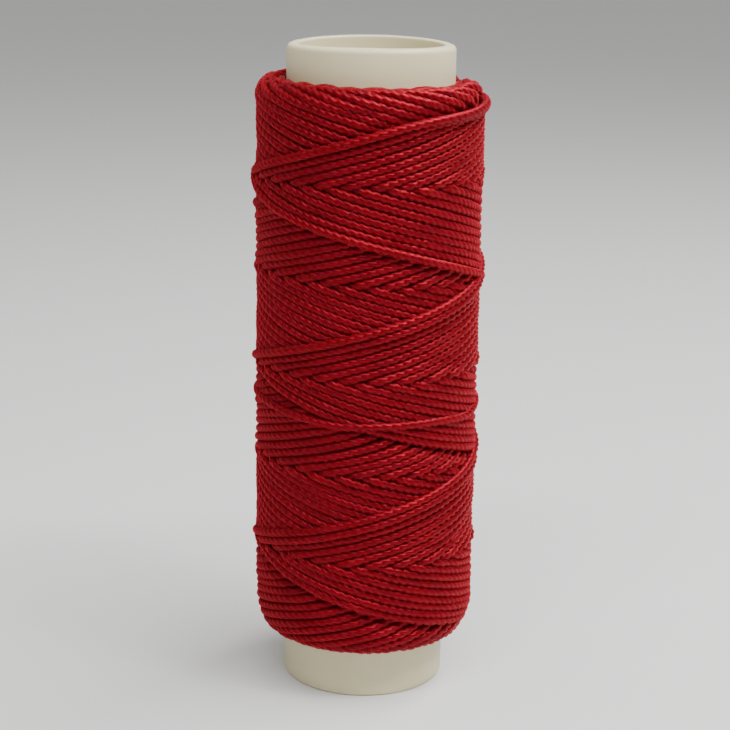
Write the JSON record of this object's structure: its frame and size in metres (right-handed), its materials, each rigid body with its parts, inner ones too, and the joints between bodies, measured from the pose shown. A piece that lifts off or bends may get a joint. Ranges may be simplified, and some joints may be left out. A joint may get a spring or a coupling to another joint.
{
  "type": "waxed thread spool",
  "caption": "Open plastic tube with twisted waxed thread cross-wound along its length, which unwinds as the spool turns on a pin or stands on end.",
  "frame": {"origin": "centre of the tube's lower end face, on the surface that the spool stands on", "axes": "+Z along the tube's axis, -Y towards the front, +X to the right seen from the front"},
  "size_m": [0.0312, 0.0312, 0.083],
  "materials": {
    "tube_plastic": "satin, warm off-white",
    "red_thread": "twisted cord with a low wax sheen, crimson"
  },
  "bodies": {
    "root": {"core_tube": "tube_plastic", "thread_winding": "red_thread", "thread_last_turn": "red_thread"}
  },
  "joints": []
}
